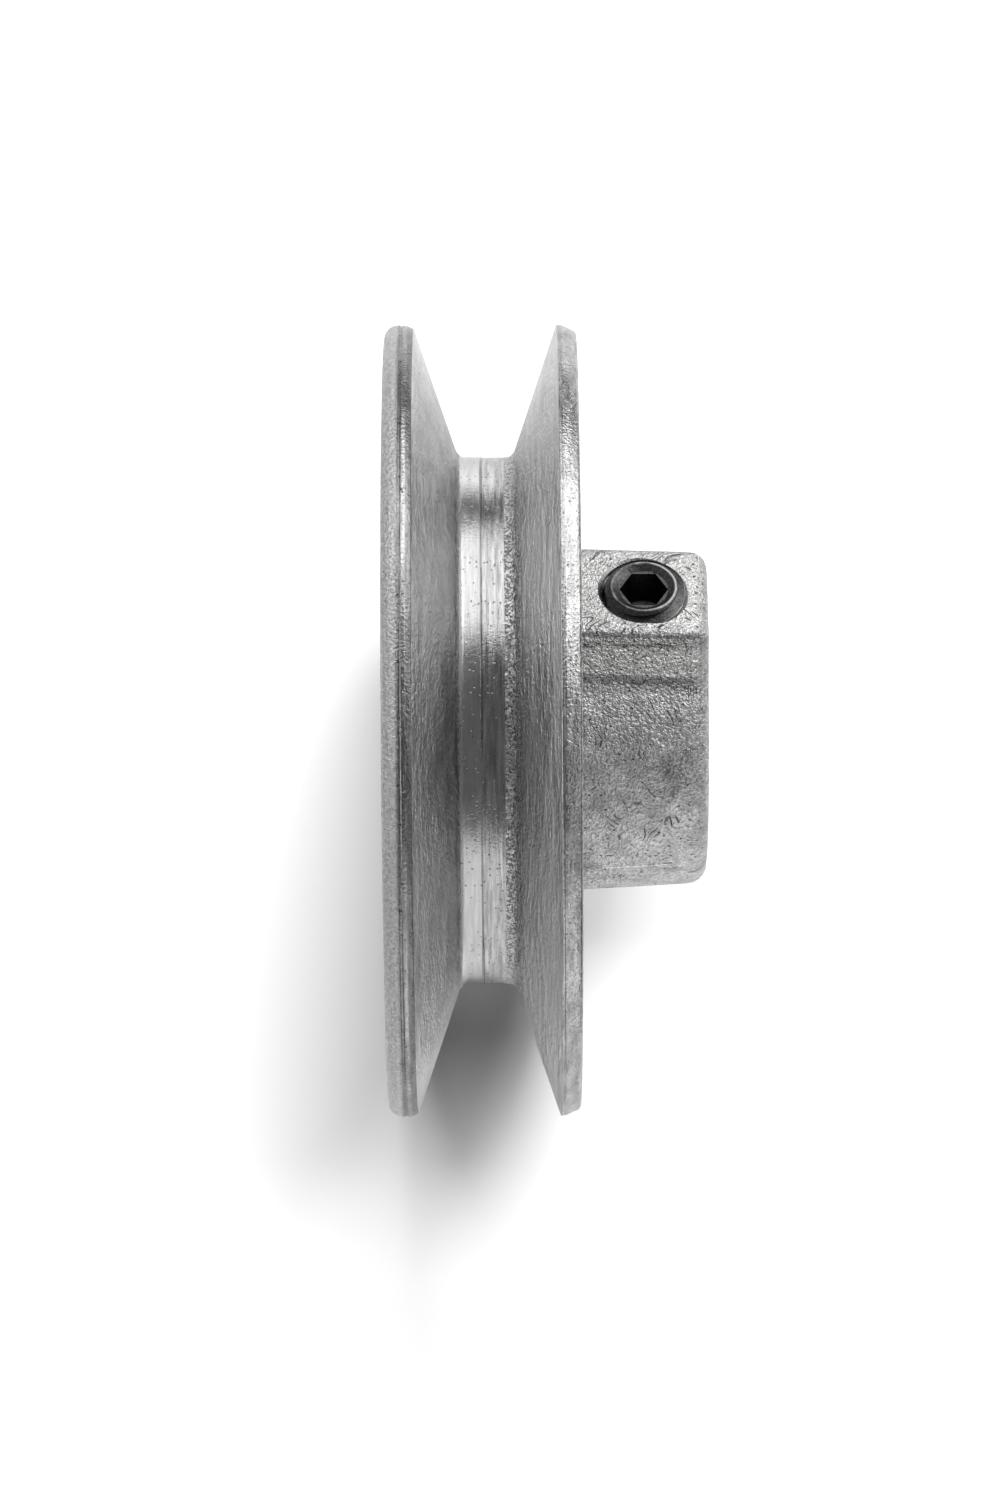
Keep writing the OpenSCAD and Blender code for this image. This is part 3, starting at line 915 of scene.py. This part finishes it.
def black_oxide_material(groups):
    """Black oxide on steel, rubbed thin on the socket's rim and the crests of the thread."""
    material, tree, shader = metal("black_oxide", 0.38)
    place = use_group(tree, groups["ring_place"])["Place"]
    from_end = vector_maths(tree, "SUBTRACT", place, (SCREW_TOP_X, 0, SCREW_Z))
    along = add_node(tree, "SeparateXYZ", {"Vector": from_end}).outputs["X"]
    from_axis = vector_maths(tree, "LENGTH", vector_maths(tree, "MULTIPLY", from_end, (0, 1, 1)))
    grain = use_group(
        tree, groups["cast_grain"], Grains_Per_mm=4.0, Grain_Depth=0.02, Lump_Depth=0.01,
        Pit_Depth=0.02, Flow_Depth=0.0,
    )
    on_end = spread(tree, along, -0.1, -0.02)
    on_rim = times(tree, on_end, spread(tree, from_axis, DISH_R - 0.1, DISH_R))
    on_crest = spread(tree, from_axis, THREAD_R - 0.08, THREAD_R - 0.01)
    rubbed = maths(tree, "MAXIMUM", on_rim, on_crest)
    # Lighter where the oxide is rubbed thin: real wear only, no shade.
    wear_and_shade = times(tree, rubbed, spread(tree, grain["Mottle"], 0.2, 0.7))
    colour = blend_colours(tree, grain["Grain"], grey(0.06), grey(0.14))
    colour = tinted(tree, colour, times(tree, wear_and_shade, 0.8), 0.55)
    roughness = spread(tree, grain["Mottle"], 0.0, 1.0, 0.3, 0.44)
    finish_shader(tree, shader, colour, roughness, grain["Relief"])
    return material


# Camera and stage

FOCAL_PX = 6722            # focal length in pixels of the 1000 x 1500 picture
PICTURE_PX = (1000, 1500)
SENSOR_MM = 36             # along the picture's long side
CAMERA_DIST = 648          # from the bore's axis
AXIS_ABOVE_CENTRE = 2.85   # the bore's axis above the picture's middle
CENTRE_Z = 10.85           # height on the bore's axis that lies at the picture's middle
CAMERA_ROLL = math.radians(0.36)
TO_VIEWER = Vector((0.759, 0.651, 0)).normalized()
PICTURE_UP = Vector((0.651, -0.759, 0)).normalized()
PICTURE_RIGHT = Vector((0, 0, 1))

FLOOR_SIZE = 320
FLOOR_FADE = (100, 135)    # the floor fades out between these distances from its middle
FLOOR_GREY = 0.65
ROOM_SIZE_M = 6
ROOM_GLOW = 0.135

# Soft boxes: name, rise above the line of sight, swing to the picture's right, size, brightness
PULLEY_LIGHT_DIST = 600
PULLEY_LIGHTS = (
    ("top_light", 64, 0, (1300, 620), 4.4),
    ("top_right_light", 62, 42, (560, 640), 4.0),
    ("low_card", -84, 5, (1000, 750), 2.65),
    ("left_fill", -10, -60, (320, 1000), 4.0),
    ("right_fill", -10, 60, (320, 1000), 1.2),
)
FLOOR_LIGHT_DIST = 1500
FLOOR_LIGHTS = (
    ("floor_front_light", 14.5, 3, (850, 360), 118),
    ("floor_top_light", 70, 12, (900, 500), 145),
)


def place_camera():
    data = bpy.data.cameras.new("photo_camera")
    camera = bpy.data.objects.new("photo_camera", data)
    bpy.context.scene.collection.objects.link(camera)
    data.sensor_width = SENSOR_MM
    data.lens = FOCAL_PX / PICTURE_PX[1] * SENSOR_MM
    data.clip_start, data.clip_end = 0.05, 20
    up = PICTURE_UP * math.cos(CAMERA_ROLL) + PICTURE_RIGHT * math.sin(CAMERA_ROLL)
    right = PICTURE_RIGHT * math.cos(CAMERA_ROLL) - PICTURE_UP * math.sin(CAMERA_ROLL)
    place = TO_VIEWER * CAMERA_DIST - PICTURE_UP * AXIS_ABOVE_CENTRE + PICTURE_RIGHT * CENTRE_Z
    turn = Matrix((right, up, TO_VIEWER)).transposed().to_4x4()
    camera.matrix_world = Matrix.Translation(place * MM) @ turn
    bpy.context.scene.camera = camera


def toward(rise, swing):
    """Direction from the pulley, by its angles above the line of sight and to the right."""
    rise, swing = math.radians(rise), math.radians(swing)
    upright = TO_VIEWER * math.cos(rise) + PICTURE_UP * math.sin(rise)
    return upright * math.cos(swing) + PICTURE_RIGHT * math.sin(swing)


def soft_box(name, rise, swing, size, brightness, reach, lit):
    """A soft rectangle that faces the pulley from that far off and lights only some objects."""
    data = bpy.data.lights.new(name, "AREA")
    data.shape = "RECTANGLE"
    data.size, data.size_y = size[0] * MM, size[1] * MM
    data.energy = brightness * data.size * data.size_y
    light = bpy.data.objects.new(name, data)
    bpy.context.scene.collection.objects.link(light)
    aim = toward(rise, swing)
    turned = math.radians(swing)
    across = PICTURE_RIGHT * math.cos(turned) - toward(rise, 0) * math.sin(turned)
    turn = Matrix((across, aim.cross(across), aim)).transposed().to_4x4()
    middle = (PICTURE_RIGHT * CENTRE_Z + aim * reach) * MM
    light.matrix_world = Matrix.Translation(middle) @ turn
    light.light_linking.receiver_collection = lit


def lit_together(name, objects):
    collection = bpy.data.collections.new(name)
    for piece in objects:
        collection.objects.link(piece)
    return collection


def floor_material():
    """Pale card that is clear from behind and fades out towards its edges."""
    material = bpy.data.materials.new("floor_card")
    material.use_nodes = True
    tree = material.node_tree
    shader = tree.nodes["Principled BSDF"]
    shader.inputs["Base Color"].default_value = grey(FLOOR_GREY)
    shader.inputs["Roughness"].default_value = 0.9
    shader.inputs["Specular IOR Level"].default_value = 0.0
    from_middle = vector_maths(tree, "LENGTH", add_node(tree, "TexCoord").outputs["Object"])
    faded = spread(tree, from_middle, FLOOR_FADE[0] * MM, FLOOR_FADE[1] * MM)
    behind = add_node(tree, "NewGeometry").outputs["Backfacing"]
    clear = add_node(tree, "BsdfTransparent")
    mix = add_node(tree, "MixShader", {
        0: maths(tree, "MAXIMUM", behind, faded), 1: shader.outputs["BSDF"],
        2: clear.outputs["BSDF"],
    })
    tree.links.new(mix.outputs["Shader"], tree.nodes["Material Output"].inputs["Surface"])
    return material


def dark_room_material():
    """Dim studio round the pulley, which the metal's dark reflections come from."""
    material = bpy.data.materials.new("dark_room")
    material.use_nodes = True
    tree = material.node_tree
    tree.nodes.remove(tree.nodes["Principled BSDF"])
    glow = add_node(tree, "Emission", {"Color": grey(ROOM_GLOW), "Strength": 1.0})
    tree.links.new(glow.outputs["Emission"], tree.nodes["Material Output"].inputs["Surface"])
    return material


def lay_floor():
    deselect_all()
    bpy.ops.mesh.primitive_plane_add(size=FLOOR_SIZE * MM)
    floor = bpy.context.object
    floor.name = "floor"
    turn = TO_VIEWER.to_track_quat("Z", "Y").to_matrix().to_4x4()
    middle = PICTURE_RIGHT * CENTRE_Z - TO_VIEWER * (RIM_R + 0.1)
    floor.matrix_world = Matrix.Translation(middle * MM) @ turn
    floor.data.materials.append(floor_material())
    return floor


def close_room():
    deselect_all()
    bpy.ops.mesh.primitive_cube_add(size=ROOM_SIZE_M)
    room = bpy.context.object
    room.name = "dark_room"
    room.data.materials.append(dark_room_material())
    room.visible_camera = room.visible_shadow = False
    room.visible_transmission = room.visible_diffuse = False


def set_world():
    """White where the camera or a reflection sees it, and nearly dark as a light."""
    world = bpy.data.worlds.new("studio")
    world.use_nodes = True
    bpy.context.scene.world = world
    tree = world.node_tree
    path = add_node(tree, "LightPath")
    shown = maths(tree, "MAXIMUM", path.outputs["Is Camera Ray"], path.outputs["Is Glossy Ray"])
    shown = maths(tree, "MAXIMUM", shown, path.outputs["Is Transmission Ray"])
    dim = tree.nodes["Background"]
    dim.inputs["Color"].default_value = grey(0.02)
    white = add_node(tree, "Background", {"Color": grey(1), "Strength": 1.0})
    mix = add_node(tree, "MixShader", {
        0: shown, 1: dim.outputs["Background"], 2: white.outputs["Background"],
    })
    tree.links.new(mix.outputs["Shader"], tree.nodes["World Output"].inputs["Surface"])


def build_stage(pulley_pieces):
    """The floor that the pulley lies on, seen from above as in the photograph, and soft lights."""
    floor = lay_floor()
    close_room()
    lit_pulley = lit_together("lit_pulley", pulley_pieces)
    lit_floor = lit_together("lit_floor", (floor,))
    for settings in PULLEY_LIGHTS:
        soft_box(*settings, PULLEY_LIGHT_DIST, lit_pulley)
    for settings in FLOOR_LIGHTS:
        soft_box(*settings, FLOOR_LIGHT_DIST, lit_floor)
    set_world()
    bpy.context.scene.view_settings.view_transform = "Standard"


ring_place = make_ring_place()
shared_effects = {
    "ring_place": ring_place,
    "cast_grain": make_cast_grain(ring_place),
    "draw_streaks": make_draw_streaks(ring_place),
    "boss_place": make_boss_place(ring_place),
}

casting = pulley_casting()
casting_finishes = {
    "cast_skin": cast_skin_material,
    "groove_wall": groove_wall_material,
    "groove_floor": groove_floor_material,
    "rim_band": rim_band_material,
    "bored_metal": bored_metal_material,
}
for zone in CASTING_ZONES:
    casting.data.materials.append(casting_finishes[zone](shared_effects))
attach(casting, "pulley")
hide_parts("pulley_body")

screw = pulley_set_screw()
screw.data.materials.append(black_oxide_material(shared_effects))
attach(screw, "screw")
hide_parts("set_screw")

place_camera()
build_stage((casting, screw))
